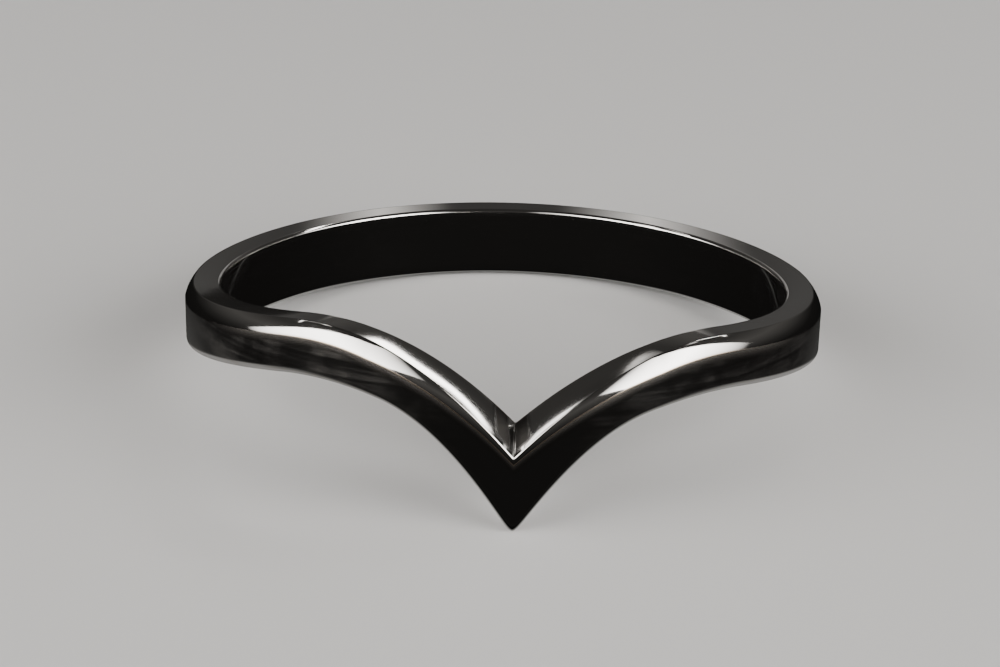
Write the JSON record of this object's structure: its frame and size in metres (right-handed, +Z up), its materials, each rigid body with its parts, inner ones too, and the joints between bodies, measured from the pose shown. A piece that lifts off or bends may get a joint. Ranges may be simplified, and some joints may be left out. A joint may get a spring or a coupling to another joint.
{
  "type": "chevron ring",
  "caption": "Plain polished silver finger ring: a slim flat band whose front dips to a bevelled V point.",
  "frame": {"origin": "Centre of the bottom of the ring's box, on the surface that the V's tip and the back of the band rest on", "axes": "+Z up, as the ring lies at rest, tilted 7.1 degrees because the tip reaches lower than the back; +Y from the V's point to the back of the band; +X to the right as seen from the V"},
  "size_m": [0.0196, 0.0198, 0.0054],
  "materials": {
    "silver": "polished"
  },
  "bodies": {
    "root": {"band": "silver"}
  },
  "joints": []
}
